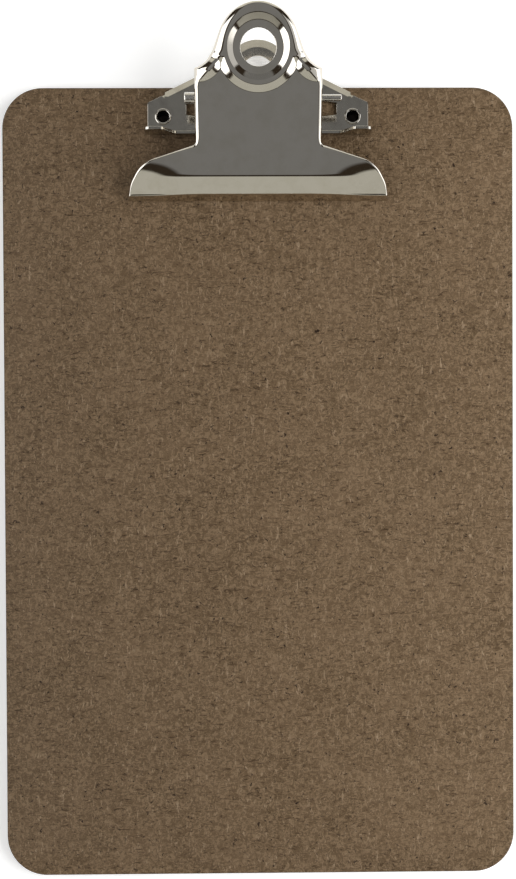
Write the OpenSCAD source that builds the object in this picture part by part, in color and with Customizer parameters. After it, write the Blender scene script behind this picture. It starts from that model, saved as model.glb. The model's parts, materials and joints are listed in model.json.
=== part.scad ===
// Memo-size clipboard: a hardboard writing board with a sprung steel lever clip.
//
// Frame: the origin is the centre of the board's back face. +X is to the right,
// +Y runs towards the clip end, and +Z points out of the writing face.
// Distances called "drop" and "out" are measured along Y from the board's top edge,
// down the board and beyond it. Heights are measured from the writing face.

/* [Board] */
// Width of the board
board_w = 152; // [130:1:230]
// Length of the board
board_l = 235; // [180:1:330]
// Thickness of the hardboard
board_t = 3.2; // [3:0.1:4]
// Radius of the board's four corners
board_corner_r = 12; // [4:0.5:20]

/* [Base plate] */
// Thickness of the clip's sheet steel
sheet_t = 0.9; // [0.8:0.05:0.95]
// Half the width of the riveted wings
wing_half_w = 32.7; // [32:0.1:34]
// Drop to the wings' upper edge
wing_drop = 2.3; // [2:0.1:3]
// Drop to the paper stop
stop_drop = 13.5; // [13:0.1:14.5]
// Height of the paper stop between its horns
stop_h = 2.5; // [2:0.1:3.5]
// Height of the horns at the paper stop's ends
horn_h = 7; // [5:0.1:7.5]
// How far out the hole of the rear tab lies
rear_hole_out = 4.7; // [4.4:0.1:5.2]
// Radius of the hole in the rear tab
rear_hole_r = 4.5; // [3.5:0.1:4.8]
// Outer radius of the rear tab
rear_tab_r = 9.5; // [9:0.1:10]
// How far the rear tab's edge turns down
edge_fall = 0.8; // [0.6:0.05:0.85]

/* [Lever] */
// Slope of the lever's plate when the clip is closed
plate_slope = 18.2; // [17:0.1:19]
// How far out the thumb ring's centre lies
ring_out = 4.5; // [4:0.1:5]
// Height of the plate's upper face at the ring's centre
ring_h = 19.5; // [19:0.1:20.5]
// Radius of the hole in the thumb ring
ring_hole_r = 5; // [4.4:0.1:5.4]
// Outer radius of the thumb tab
tab_r = 11.9; // [11.7:0.1:12.4]
// Height of the flat ring round the thumb hole
annulus_h = 0.4; // [0.2:0.05:0.6]
// Height of the ridge pressed round that ring
ridge_h = 1.4; // [1:0.05:1.8]
// How far the thumb tab's edge rolls down
skirt_h = 2.6; // [2:0.1:3]
// Half the width of the neck, over its flanges
neck_half_w = 18; // [17.5:0.1:18.5]
// Half the width of the jaw at its lip
jaw_half_w = 39.2; // [36:0.1:42]
// Drop to the jaw's lip
jaw_drop = 33.8; // [33:0.1:35]
// How far the jaw's rim turns down
jaw_rim_h = 2.4; // [1.8:0.1:3]
// Gap under the closed lip
lip_gap = 0.1; // [0.05:0.05:0.3]

/* [Pivot] */
// Drop to the pivot
pivot_drop = 6.6; // [6.4:0.1:7]
// Height of the pivot
pivot_h = 10.5; // [10:0.1:10.8]
// Radius of the pivot pin
pin_r = 0.95; // [0.9:0.05:1.15]
// Radial clearance round the pin
pin_clearance = 0.05; // [0.02:0.01:0.1]

/* [Springs] */
// Diameter of the spring wire
wire_d = 1.2; // [1:0.05:1.3]
// Radius of the coils at the middle of the wire
coil_r = 2.6; // [2.5:0.05:2.9]
// Distance between neighbouring turns
coil_pitch = 1.3; // [1.3:0.02:1.36]

/* [Rivets] */
// Distance of each rivet from the centre line
rivet_x = 28.1; // [27.8:0.1:28.8]
// Drop to the rivets
rivet_drop = 8.9; // [8.6:0.1:9.1]
// Radius of a rivet's shank
rivet_r = 2.1; // [2:0.05:2.3]
// Radius of a rivet's blind hole
rivet_hole_r = 1.8; // [1.6:0.05:1.85]
// Radius of a rivet's flat head
rivet_head_r = 4.2; // [3.8:0.1:4.5]

/* [Hidden] */
$fn = 64;

HARDBOARD = "peru";
NICKEL = "silver";
STEEL = "dimgray";

top_y = board_l / 2;
plate_top = board_t + sheet_t;
fit_gap = 0.05;
past = 1;

// Pivot
pivot_y = top_y - pivot_drop;
pivot_z = board_t + pivot_h;
bore_r = pin_r + pin_clearance;
pin_head_r = 1.6;
pin_head_l = 3.2;
pin_tail_l = 6;

// Base plate
wing_y = top_y - wing_drop;
stop_y = top_y - stop_drop;
wing_chamfer = [5.2, 2.5];
stop_half_w = wing_half_w + 0.6;
horn_w = 5.3;
horn_run = 3.5;
flank_start = [wing_half_w - 5.1, top_y - 1.4];
flank_end = [9, top_y + 7.8];
flank_w = 2.1;
rear_hole_y = top_y + rear_hole_out;
annulus_w = 2.1;
flank_run = (flank_end - flank_start) / norm(flank_end - flank_start);
flank_in = [-flank_run.y, flank_run.x];
flat_end = [6.2, flank_start.y + flank_w * flank_in.y
                 + (6.2 - flank_start.x - flank_w * flank_in.x) * flank_run.y / flank_run.x];
ear_x = 8;
ear_half_w = 3.6;
ear_head_r = 2.5;
ear_tip_half_w = 1.7;
window_end_left = 21.4;
window_end_right = 23.5;

// Lever
ring_y = top_y + ring_out;
ring_z = board_t + ring_h;
bend_y = top_y - jaw_drop + 5.5;
bend_z = ring_z - (ring_y - bend_y) * tan(plate_slope);
crease_y = top_y - jaw_drop + 1.1;
crease_z = board_t + 4.5;
lip_y = top_y - jaw_drop;
lip_z = board_t + lip_gap;
flange_lobe_r = 5;
flange_x = neck_half_w - sheet_t;
annulus_r = ring_hole_r + 1.9;
ridge_in_r = annulus_r + 2;
ridge_out_r = ridge_in_r + 0.75;
shoulder_y = ring_y - 5.2;
jaw_root_y = top_y - 20.2;
jaw_corner = [jaw_half_w - 2.6, top_y - 25.7];
jaw_corner_r = 11;
jaw_lip_r = 1.2;

// Springs
spring_x = 13;
whole_turns = 4;
wire_r = wire_d / 2;
foot = [7.3, plate_top + wire_r + fit_gap - pivot_z];
tip_reach = 8.1;
tip = [tip_reach,
       ring_z - (ring_y - pivot_y - tip_reach) * tan(plate_slope)
       - (sheet_t + wire_r + fit_gap) / cos(plate_slope) - pivot_z];

// Rivets
rivet_y = top_y - rivet_drop;
head_t = 0.8;
rivet_rim_r = rivet_r + 0.26;
rivet_rim_h = 0.45;
rivet_floor_z = 1;

// ---- Plane geometry ----

function unit(v) = v / norm(v);
function left_of(v) = [-v.y, v.x];
function reversed(points) = [for (i = [len(points) - 1:-1:0]) points[i]];
function mirrored(half) = concat(half, [for (p = reversed(half)) [-p.x, p.y]]);
function turned(v, angle) = [v.x * cos(angle) - v.y * sin(angle),
                             v.x * sin(angle) + v.y * cos(angle)];

// The arc of radius r that rounds corner b between a and c.
function corner(a, b, c, r, steps) =
    r == 0 ? [b] :
    let (u = unit(b - a), v = unit(c - b),
         angle = atan2(u.x * v.y - u.y * v.x, u * v),
         start = b - r * tan(abs(angle) / 2) * u,
         centre = start + sign(angle) * r * left_of(u))
    [for (i = [0:steps]) centre + turned(start - centre, angle * i / steps)];

// A path whose inner corners are rounded by the radii of the same index.
function rounded(points, radii, steps = 5) =
    [points[0],
     for (i = [1:len(points) - 2])
         each corner(points[i - 1], points[i], points[i + 1], radii[i], steps),
     points[len(points) - 1]];

// The same path moved sideways by d, to its left when d is positive.
function shifted(path, d) =
    [for (i = [0:len(path) - 1])
        path[i] + d * left_of(unit(path[min(i + 1, len(path) - 1)] - path[max(i - 1, 0)]))];

// The outline of everything between a Y-Z path and the ground under it.
function under(path) = concat(path, [[path[len(path) - 1].x, 0], [path[0].x, 0]]);

// Draws a Y-Z outline, extruded along X from x0 to x1.
module across(x0, x1) {
    translate([x0, 0, 0]) rotate([90, 0, 90]) linear_extrude(x1 - x0) children();
}

// Places its children on the lever's plate, with the thumb hole's centre at the origin.
module on_plate() {
    translate([0, ring_y, ring_z]) rotate([plate_slope, 0, 0]) children();
}

// ---- Board ----

module board_outline() {
    hw = board_w / 2;
    hl = board_l / 2;
    r = board_corner_r;
    polygon(mirrored(rounded([[0, hl], [hw, hl], [hw, -hl], [0, -hl]], [0, r, r, 0], 16)));
}

module board() {
    color(HARDBOARD) difference() {
        linear_extrude(board_t) board_outline();
        for (side = [-1, 1]) translate([side * rivet_x, rivet_y, 0]) {
            translate([0, 0, -past]) cylinder(r = rivet_r + fit_gap, h = board_t + 2 * past);
            translate([0, 0, -past]) cylinder(r = rivet_head_r + fit_gap, h = head_t + past);
        }
    }
}

// ---- Base plate ----

// The flat part: the edge that turns down lies outside it.
module base_outline() {
    polygon(mirrored([
        [0, flat_end.y],
        flat_end,
        flank_start + flank_w * flank_in,
        [wing_half_w - wing_chamfer.x, wing_y],
        [wing_half_w, wing_y - wing_chamfer.y],
        [wing_half_w, stop_y],
        [0, stop_y]]));
}

// The opening that an ear leaves in the plate when it is cut and folded up.
module ear_window(side, end_x) {
    root_x = ear_x + sheet_t;
    translate([0, pivot_y, board_t - past]) linear_extrude(sheet_t + 2 * past)
        polygon([[side * root_x, ear_half_w], [side * end_x, ear_tip_half_w],
                 [side * end_x, -ear_tip_half_w], [side * root_x, -ear_half_w]]);
}

module ear(side) {
    inner_x = side > 0 ? ear_x : -ear_x - sheet_t;
    across(inner_x, inner_x + sheet_t) {
        polygon([[pivot_y - ear_half_w, board_t], [pivot_y + ear_half_w, board_t],
                 [pivot_y + ear_head_r, pivot_z], [pivot_y - ear_head_r, pivot_z]]);
        translate([pivot_y, pivot_z]) circle(r = ear_head_r);
    }
}

module paper_stop() {
    w = stop_half_w;
    profile = rounded(
        [[-w, board_t], [-w, board_t + horn_h], [horn_w - w, board_t + horn_h],
         [horn_w + horn_run - w, board_t + stop_h], [w - horn_w - horn_run, board_t + stop_h],
         [w - horn_w, board_t + horn_h], [w, board_t + horn_h], [w, board_t]],
        [0, 1.8, 1.6, 2.4, 2.4, 1.6, 1.8, 0]);
    translate([0, stop_y, 0]) rotate([90, 0, 0]) linear_extrude(sheet_t) polygon(profile);
}

// The edge that turns down along one straight flank of the rear tab. It thins out where it
// lies on the board.
module flank_edge(side) {
    strip_w = norm([flank_w, edge_fall]);
    difference() {
        mirror([side > 0 ? 0 : 1, 0, 0])
            translate([flank_start.x, flank_start.y, plate_top])
            rotate([0, 0, atan2(flank_run.y, flank_run.x)])
            translate([0, flank_w, 0])
            rotate([atan2(edge_fall, flank_w), 0, 0])
            translate([0, -strip_w, -sheet_t])
            cube([norm(flank_end - flank_start), strip_w, sheet_t]);
        translate([-wing_half_w, 0, 0])
            cube([2 * wing_half_w, top_y + fit_gap, board_t]);
    }
}

// The round end of the rear tab: a flat ring with an edge that turns down.
module rear_ring() {
    flat_r = rear_hole_r + annulus_w;
    translate([0, rear_hole_y, board_t]) rotate_extrude()
        polygon([[rear_hole_r - past, 0], [flat_r, 0], [rear_tab_r, -edge_fall],
                 [rear_tab_r, sheet_t - edge_fall], [flat_r, sheet_t], [rear_hole_r - past, sheet_t]]);
}

// Everything beyond the two flanks, where the ring's edge shows.
module beyond_flanks() {
    linear_extrude(plate_top + past)
        polygon(mirrored([[0, flank_end.y + 2 * rear_tab_r],
                          [2 * rear_tab_r, flank_end.y + 2 * rear_tab_r],
                          [2 * rear_tab_r, flank_end.y - past],
                          [flank_end.x - flank_w, flank_end.y - flank_w],
                          [0, rear_hole_y - rear_tab_r / 2]]));
}

module base_plate() {
    color(NICKEL) difference() {
        union() {
            difference() {
                translate([0, 0, board_t]) linear_extrude(sheet_t) base_outline();
                ear_window(-1, window_end_left);
                ear_window(1, window_end_right);
            }
            for (side = [-1, 1]) {
                ear(side);
                flank_edge(side);
            }
            paper_stop();
            intersection() {
                rear_ring();
                beyond_flanks();
            }
        }
        translate([0, rear_hole_y, board_t - past]) cylinder(r = rear_hole_r, h = sheet_t + 2 * past);
        across(-ear_x - 2 * sheet_t, ear_x + 2 * sheet_t)
            translate([pivot_y, pivot_z]) circle(r = bore_r);
        for (side = [-1, 1]) translate([side * rivet_x, rivet_y, board_t - past])
            cylinder(r = rivet_r + fit_gap, h = sheet_t + 2 * past);
    }
}

// ---- Lever ----

// The upper face of the lever's plate, jaw and lip, seen from the side.
lever_path = rounded(
    [[ring_y, ring_z], [bend_y, bend_z], [crease_y, crease_z], [lip_y, lip_z]],
    [0, 2.4, 1.2, 0]);

// The right half of the lever's plan, from the thumb tab round to the middle of the lip.
lever_half_plan = rounded(
    [[0, ring_y + 1.5], [11.7, ring_y + 1.5], [14, ring_y - 3.6],
     [neck_half_w, shoulder_y], [neck_half_w, jaw_root_y], jaw_corner,
     [jaw_half_w, lip_y], [0, lip_y]],
    [0, 0, 2.5, 0.6, 1, jaw_corner_r, jaw_lip_r, 0]);

// The right half of the jaw's plan alone, reaching up into the neck.
jaw_half_plan = rounded(
    [[0, jaw_root_y + past], [neck_half_w, jaw_root_y + past], [neck_half_w, jaw_root_y],
     jaw_corner, [jaw_half_w, lip_y], [0, lip_y]],
    [0, 0, 0, jaw_corner_r, jaw_lip_r, 0]);

// Everything inside a plan, above the lip's level.
module plan_prism(half_plan) {
    translate([0, 0, lip_z]) linear_extrude(2 * ring_z) polygon(mirrored(half_plan));
}

// Cuts across the whole lever along a Y-Z outline.
module across_all(outline) {
    across(-jaw_half_w - past, jaw_half_w + past) polygon(outline);
}

// The folded sheet, with a rim that turns down all round the jaw.
module lever_sheet() {
    difference() {
        intersection() {
            across_all(under(lever_path));
            plan_prism(lever_half_plan);
        }
        intersection() {
            across_all(under(shifted(lever_path, sheet_t)));
            union() {
                plan_prism(shifted(jaw_half_plan, -sheet_t));
                translate([-jaw_half_w, jaw_root_y - past, 0])
                    cube([2 * jaw_half_w, 2 * ring_y, 2 * ring_z]);
            }
        }
        across_all(under([[ring_y, ring_z - jaw_rim_h], [bend_y, bend_z - jaw_rim_h],
                          [crease_y + past, crease_z - jaw_rim_h]]));
    }
}

// One side flange of the neck: it hangs from the plate and ends in a lobe round the pivot.
module neck_flange(side) {
    inner_x = side > 0 ? flange_x : -neck_half_w;
    rear = [shoulder_y, ring_z - (ring_y - shoulder_y) * tan(plate_slope) - sheet_t / 2];
    front = [jaw_root_y + 1.6, ring_z - (ring_y - jaw_root_y - 1.6) * tan(plate_slope) - sheet_t / 2];
    across(inner_x, inner_x + sheet_t)
        polygon([rear,
                 rear - [0, 2],
                 for (a = [-15:-15:-120]) [pivot_y, pivot_z] + flange_lobe_r * [cos(a), sin(a)],
                 front - [-2.5, 2],
                 front]);
}

// The thumb ring: a flat ring round the hole, a raised ridge, and an edge that rolls down
// on the half that faces away from the neck.
module thumb_ring() {
    t = sheet_t;
    on_plate() difference() {
        rotate_extrude(convexity = 4)
            polygon([[ring_hole_r - past, annulus_h], [annulus_r, annulus_h],
                     [ridge_in_r, ridge_h], [ridge_out_r, ridge_h], [tab_r, 0],
                     [tab_r, -skirt_h], [tab_r - t, -skirt_h], [tab_r - t, -t / 2],
                     [ridge_out_r - 0.2, ridge_h - t], [ridge_in_r + 0.2, ridge_h - t],
                     [annulus_r + 0.3, annulus_h - t], [ring_hole_r - past, annulus_h - t]]);
        translate([-tab_r - past, -tab_r - past, -skirt_h - past])
            cube([2 * tab_r + 2 * past, tab_r + past, skirt_h + past - t]);
    }
}

module lever() {
    color(NICKEL) difference() {
        union() {
            difference() {
                lever_sheet();
                on_plate() translate([0, 0, -2 * past]) cylinder(r = tab_r - 0.3, h = 4 * past);
            }
            neck_flange(-1);
            neck_flange(1);
            thumb_ring();
        }
        on_plate() translate([0, 0, -2 * past]) cylinder(r = ring_hole_r, h = 4 * past);
        across(-neck_half_w - past, neck_half_w + past)
            translate([pivot_y, pivot_z]) circle(r = bore_r);
    }
}

// ---- Pivot pin ----

module pivot_pin() {
    head_x = -neck_half_w - fit_gap;
    tail_x = neck_half_w + pin_tail_l;
    nose = 0.5;
    color(STEEL) translate([0, pivot_y, pivot_z]) rotate([0, 90, 0]) rotate_extrude()
        polygon([[0, head_x - pin_head_l],
                 [pin_head_r - nose, head_x - pin_head_l],
                 [pin_head_r, head_x - pin_head_l + nose],
                 [pin_head_r, head_x],
                 [pin_r, head_x],
                 [pin_r, tail_x - nose],
                 [pin_r - nose, tail_x],
                 [0, tail_x]]);
}

// ---- Torsion springs ----

// Angle round the pivot at which a straight leg that ends at p leaves the coil.
function leg_angle(p, side) = atan2(p.y, p.x) + side * acos(coil_r / norm(p));

// The middle line of the right-hand spring: foot on the base, coil, tip under the lever.
function spring_path() =
    let (start = leg_angle(foot, -1),
         sweep = start - leg_angle(tip, 1) + 360 * (whole_turns + 1),
         steps = floor(sweep / 24),
         length = coil_pitch * sweep / 360,
         x0 = spring_x + length / 2)
    [[x0, foot.x, foot.y],
     for (i = [0:steps])
         let (a = start - sweep * i / steps)
         [x0 - length * i / steps, coil_r * cos(a), coil_r * sin(a)],
     [x0 - length, tip.x, tip.y]];

// A round wire along a path that mostly runs square to X.
module wire(path, r) {
    sides = 8;
    last = len(path) - 1;
    rings = [for (i = [0:last])
        let (t = unit(path[min(i + 1, last)] - path[max(i - 1, 0)]),
             u = unit(cross(t, [1, 0, 0])),
             v = cross(t, u))
        for (k = [0:sides - 1])
            path[i] + r * (cos(360 * k / sides) * u + sin(360 * k / sides) * v)];
    walls = [for (i = [0:last - 1]) for (k = [0:sides - 1])
        let (a = i * sides + k, b = i * sides + (k + 1) % sides)
        each [[a, a + sides, b], [b, a + sides, b + sides]]];
    caps = [for (k = [1:sides - 2])
        each [[0, k, k + 1], [last * sides, last * sides + k + 1, last * sides + k]]];
    polyhedron(rings, concat(walls, caps), convexity = 10);
}

module spring_right() {
    color(STEEL) translate([0, pivot_y, pivot_z]) wire(spring_path(), wire_r);
}

module spring_left() {
    color(STEEL) mirror([1, 0, 0]) translate([0, pivot_y, pivot_z]) wire(spring_path(), wire_r);
}

// ---- Rivets ----

// A semi-tubular rivet: flat head sunk in the board's back, blind hole and rolled rim in front.
module rivet(side) {
    rim_top = plate_top + rivet_rim_h;
    color(NICKEL) translate([side * rivet_x, rivet_y, 0]) rotate_extrude()
        polygon([[0, 0], [rivet_head_r, 0], [rivet_head_r, head_t], [rivet_r, head_t],
                 [rivet_r, plate_top], [rivet_rim_r, plate_top],
                 [rivet_rim_r, rim_top - rivet_rim_h / 2], [rivet_r, rim_top],
                 [rivet_hole_r, rim_top - rivet_rim_h / 3], [rivet_hole_r, rivet_floor_z],
                 [0, rivet_floor_z]]);
}

module rivet_left() { rivet(-1); }
module rivet_right() { rivet(1); }

board();
base_plate();
lever();
pivot_pin();
spring_left();
spring_right();
rivet_left();
rivet_right();
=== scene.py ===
import json
import math

import bpy
import numpy as np
from mathutils import Euler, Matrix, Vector
from mathutils.geometry import delaunay_2d_cdt


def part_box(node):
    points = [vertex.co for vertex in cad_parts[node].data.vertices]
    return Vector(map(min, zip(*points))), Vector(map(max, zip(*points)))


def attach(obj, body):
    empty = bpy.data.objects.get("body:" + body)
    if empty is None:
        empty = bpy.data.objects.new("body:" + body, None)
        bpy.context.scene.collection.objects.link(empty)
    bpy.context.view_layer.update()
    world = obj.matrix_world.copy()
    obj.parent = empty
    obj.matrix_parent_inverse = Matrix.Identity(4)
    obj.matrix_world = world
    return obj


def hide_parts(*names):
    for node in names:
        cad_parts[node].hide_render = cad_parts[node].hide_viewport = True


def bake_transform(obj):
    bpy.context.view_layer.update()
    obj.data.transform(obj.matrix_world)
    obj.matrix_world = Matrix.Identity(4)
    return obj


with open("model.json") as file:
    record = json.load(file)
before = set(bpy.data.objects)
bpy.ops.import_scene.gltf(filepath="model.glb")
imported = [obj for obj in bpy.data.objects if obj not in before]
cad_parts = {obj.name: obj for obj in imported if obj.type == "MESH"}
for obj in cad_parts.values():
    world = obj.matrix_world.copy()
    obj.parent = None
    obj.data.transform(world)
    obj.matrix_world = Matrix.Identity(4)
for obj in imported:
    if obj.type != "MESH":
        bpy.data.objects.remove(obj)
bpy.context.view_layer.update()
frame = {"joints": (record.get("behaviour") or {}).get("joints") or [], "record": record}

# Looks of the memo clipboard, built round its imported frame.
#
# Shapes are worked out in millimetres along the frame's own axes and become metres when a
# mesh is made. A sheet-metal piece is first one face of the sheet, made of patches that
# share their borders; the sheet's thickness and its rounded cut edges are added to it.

MM = 0.001

# Sizes that the record does not give.
CUT_EDGE_R = 0.16
PIN_R = 0.95
PIN_HOLE_R = PIN_R + 0.05
RIVET_HOLE_R = 2.15
RECESS_R = 4.25
RIVET_HEAD_T = 0.8

# ---- Places taken from the frame ----

record = frame["record"]
mounts = {mount["name"]: mount for mount in record["mounts"]}


def in_mm(vector):
    return np.array(vector, float) / MM


def node_box(name):
    low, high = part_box(name)
    return in_mm(low), in_mm(high)


_, board_high = node_box("board")
base_low, base_high = node_box("base_plate")
lever_low, lever_high = node_box("lever")
pin_low, pin_high = node_box("pivot_pin")

SHEET_T = mounts["rear_tab_hole"]["dims"]["length_mm"]
TOP_Y = board_high[1]
FRONT_Z = board_high[2]
PLATE_Z = FRONT_Z + SHEET_T
PIVOT = in_mm(frame["joints"][0]["pos_m"])
REAR_HOLE = in_mm(mounts["rear_tab_hole"]["pos_m"])
REAR_HOLE_R = mounts["rear_tab_hole"]["dims"]["r_mm"]
THUMB_HOLE_R = mounts["thumb_ring_hole"]["dims"]["r_mm"]
RIVETS = [sum(node_box(name)) / 2 for name in ("rivet_left", "rivet_right")]

# The lever's plate: its upward normal, the way up its slope, and the point of its upper
# face over the thumb hole's centre, ignoring what is pressed into it.
ANNULUS_H = 0.4
PLATE_UP = np.array(mounts["thumb_ring_hole"]["axis"])
PLATE_ALONG = np.cross(PLATE_UP, [1, 0, 0])
RING = in_mm(mounts["thumb_ring_hole"]["pos_m"]) + (SHEET_T / 2 - ANNULUS_H) * PLATE_UP
SLOPE = math.atan2(-PLATE_UP[1], PLATE_UP[2])


# ---- Meshes ----

def with_last(points, value):
    """The points with one more coordinate: one value for all of them, or one for each."""
    return np.column_stack([points, np.broadcast_to(value, len(points))])


def unit(vectors):
    length = np.linalg.norm(vectors, axis=-1, keepdims=True)
    return vectors / np.maximum(length, 1e-12)


def ramp(t, soft=0.15):
    """Rises from 0 to 1 as t does, straight but for its two rounded ends."""
    t = np.clip(t, 0, 1)
    foot = t ** 2 / (2 * soft * (1 - soft))
    middle = (t - soft / 2) / (1 - soft)
    head = 1 - (1 - t) ** 2 / (2 * soft * (1 - soft))
    return np.where(t < soft, foot, np.where(t > 1 - soft, head, middle))


def arc(centre, r, start, end, steps):
    """Points of an arc in a plane; angles are in degrees."""
    angles = np.radians(np.linspace(start, end, steps + 1))
    return np.array(centre) + r * np.column_stack([np.cos(angles), np.sin(angles)])


def circle(centre, r, steps):
    return arc(centre, r, 0, 360, steps)[:-1]


def rounded(points, radii, steps=8):
    """The open path through the points, with its inner corners rounded."""
    points = [np.array(p, float) for p in points]
    path = [points[0]]
    for before, here, after, r in zip(points, points[1:], points[2:], radii):
        u, v = unit(here - before), unit(after - here)
        turn = math.atan2(u[0] * v[1] - u[1] * v[0], u @ v)
        reach = r * math.tan(abs(turn) / 2)
        centre = here - reach * u + math.copysign(r, turn) * np.array([-u[1], u[0]])
        spoke = here - reach * u - centre
        for angle in np.linspace(0, turn, steps + 1):
            c, s = math.cos(angle), math.sin(angle)
            path.append(centre + [c * spoke[0] - s * spoke[1], s * spoke[0] + c * spoke[1]])
    path.append(points[-1])
    return np.array(path)


def spaced(path, gap):
    """The same path with points added where they are further apart than the gap."""
    out = [path[0]]
    for a, b in zip(path, path[1:]):
        steps = max(1, math.ceil(np.linalg.norm(b - a) / gap))
        out += [a + (b - a) * k / steps for k in range(1, steps + 1)]
    return np.array(out)


def inside(points, loop):
    """Which points lie inside a closed loop."""
    x, y = points[:, 0, None], points[:, 1, None]
    x0, y0 = loop[:, 0], loop[:, 1]
    x1, y1 = np.roll(x0, -1), np.roll(y0, -1)
    spans = (y0 > y) != (y1 > y)
    rise = np.where(y1 == y0, 1, y1 - y0)
    return (spans & (x < x0 + (y - y0) * (x1 - x0) / rise)).sum(1) % 2 == 1


def fill(outline, holes=(), scatter=(), clearance=0.22):
    """Triangles over a flat region: its outline and holes, and points scattered inside it."""
    loops = [np.array(loop) for loop in (outline, *holes)]
    border = np.vstack(loops)
    inner = np.vstack(scatter) if len(scatter) else np.empty((0, 2))
    inner = inner[inside(inner, loops[0])]
    for hole in loops[1:]:
        inner = inner[~inside(inner, hole)]
    if len(inner):
        near = np.array([np.min(np.hypot(*(border - p).T)) for p in inner])
        inner = inner[near > clearance]
    points = np.vstack([border, inner])
    edges = []
    start = 0
    for loop in loops:
        n = len(loop)
        edges += [(start + i, start + (i + 1) % n) for i in range(n)]
        start += n
    found = delaunay_2d_cdt(points.tolist(), edges, [], 0, 1e-7)
    flat = np.array([tuple(p) for p in found[0]])
    faces = np.array([face for face in found[2] if len(face) == 3])
    centres = flat[faces].mean(1)
    keep = inside(centres, loops[0])
    for hole in loops[1:]:
        keep &= ~inside(centres, hole)
    faces = faces[keep]
    a, b, c = (flat[faces[:, k]] for k in range(3))
    area = (b[:, 0] - a[:, 0]) * (c[:, 1] - a[:, 1]) - (b[:, 1] - a[:, 1]) * (c[:, 0] - a[:, 0])
    faces[area < 0] = faces[area < 0][:, ::-1]
    return flat, faces[np.abs(area) > 1e-9]


def wall(loop, holes, place, normal):
    """A flat wall from an outline; place turns its plane's points into space."""
    flat, faces = fill(loop, holes)
    points = place(flat)
    a, b, c = points[faces[0]]
    if np.cross(b - a, c - a) @ normal < 0:
        faces = faces[:, ::-1]
    return points, faces, np.tile(np.array(normal, float), (len(points), 1))


def grid_patch(grid, like):
    """A patch from a grid of points. Its normals point to the side that like points to, which
    is one direction, or one for each point."""
    rows, columns = grid.shape[:2]
    normals = unit(np.cross(np.gradient(grid, axis=0), np.gradient(grid, axis=1)))
    flip = np.sum(normals * like) < 0
    if flip:
        normals = -normals
    index = np.arange(rows * columns).reshape(rows, columns)
    a, b, c, d = index[:-1, :-1], index[1:, :-1], index[1:, 1:], index[:-1, 1:]
    quads = np.stack([a, b, c, d], -1).reshape(-1, 4)
    faces = np.vstack([quads[:, [0, 1, 2]], quads[:, [0, 2, 3]]])
    if flip:
        faces = faces[:, ::-1]
    return grid.reshape(-1, 3), faces, normals.reshape(-1, 3)


def mirrored(patch):
    points, faces, normals = patch
    flip = np.array([-1, 1, 1])
    return points * flip, faces[:, ::-1], normals * flip


def joined(patches, tolerance=1e-4):
    """One patch from several that share borders: points that coincide become one."""
    points = np.vstack([patch[0] for patch in patches])
    normals = np.vstack([patch[2] for patch in patches])
    starts = np.cumsum([0] + [len(patch[0]) for patch in patches])
    faces = np.vstack([patch[1] + start for patch, start in zip(patches, starts)])
    keys = np.round(points / tolerance).astype(np.int64)
    _, first, back = np.unique(keys, axis=0, return_index=True, return_inverse=True)
    back = back.reshape(-1)
    summed = np.zeros((len(first), 3))
    np.add.at(summed, back, normals)
    faces = back[faces]
    a, b, c = faces.T
    faces = faces[(a != b) & (b != c) & (c != a)]
    return points[first], faces, unit(summed)


def border_loops(faces):
    """The closed loops of border points, each with the surface on its left."""
    edges = set()
    for a, b, c in faces.tolist():
        edges.update([(a, b), (b, c), (c, a)])
    following = {a: b for a, b in edges if (b, a) not in edges}
    loops = []
    while following:
        start, here = following.popitem()
        loop = [start]
        while here != start:
            loop.append(here)
            here = following.pop(here)
        loops.append(np.array(loop))
    return loops


def thickened(patch, thickness, edge_r=CUT_EDGE_R):
    """A closed solid from one face of a sheet, with rounded cut edges."""
    points, faces, normals = patch
    count = len(points)
    all_points = [points, points - thickness * normals]
    all_normals = [normals, -normals]
    all_faces = [faces, faces[:, ::-1] + count]
    angles = np.radians([30, 60, 90])
    total = 2 * count
    for loop in border_loops(faces):
        here = points[loop]
        up = normals[loop]
        tangent = unit(np.roll(here, -1, 0) - np.roll(here, 1, 0))
        out = unit(np.cross(tangent, up))
        rings = [loop]
        turns = [(a, 0) for a in angles] + [(a, 1) for a in angles[::-1]]
        for angle, lower in turns:
            sink = edge_r * (1 - math.cos(angle))
            depth = thickness - sink if lower else sink
            all_points.append(here + edge_r * math.sin(angle) * out - depth * up)
            side = -1 if lower else 1
            all_normals.append(unit(math.sin(angle) * out + side * math.cos(angle) * up))
            rings.append(np.arange(total, total + len(loop)))
            total += len(loop)
        rings.append(loop + count)
        for upper, under in zip(rings, rings[1:]):
            a, b = upper, np.roll(upper, -1)
            c, d = np.roll(under, -1), under
            all_faces += [np.column_stack([a, d, c]), np.column_stack([a, c, b])]
    return np.vstack(all_points), np.vstack(all_faces), np.vstack(all_normals)


def lathe(profile, steps=72, smooth=30):
    """A closed solid of revolution about Z from (r, z) points, run with the solid on the left.
    Edges sharper than smooth, in degrees, stay sharp."""
    angles = np.linspace(0, 2 * math.pi, steps + 1)
    circles = np.column_stack([np.cos(angles), np.sin(angles)])
    patches = []
    for (r0, z0), (r1, z1) in zip(profile, profile[1:]):
        rings = np.array([with_last(r0 * circles, z0), with_last(r1 * circles, z1)])
        patches.append(grid_patch(rings, with_last((z1 - z0) * circles, r0 - r1)))
    points, faces, _ = joined(patches)
    return points, faces, smooth


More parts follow.
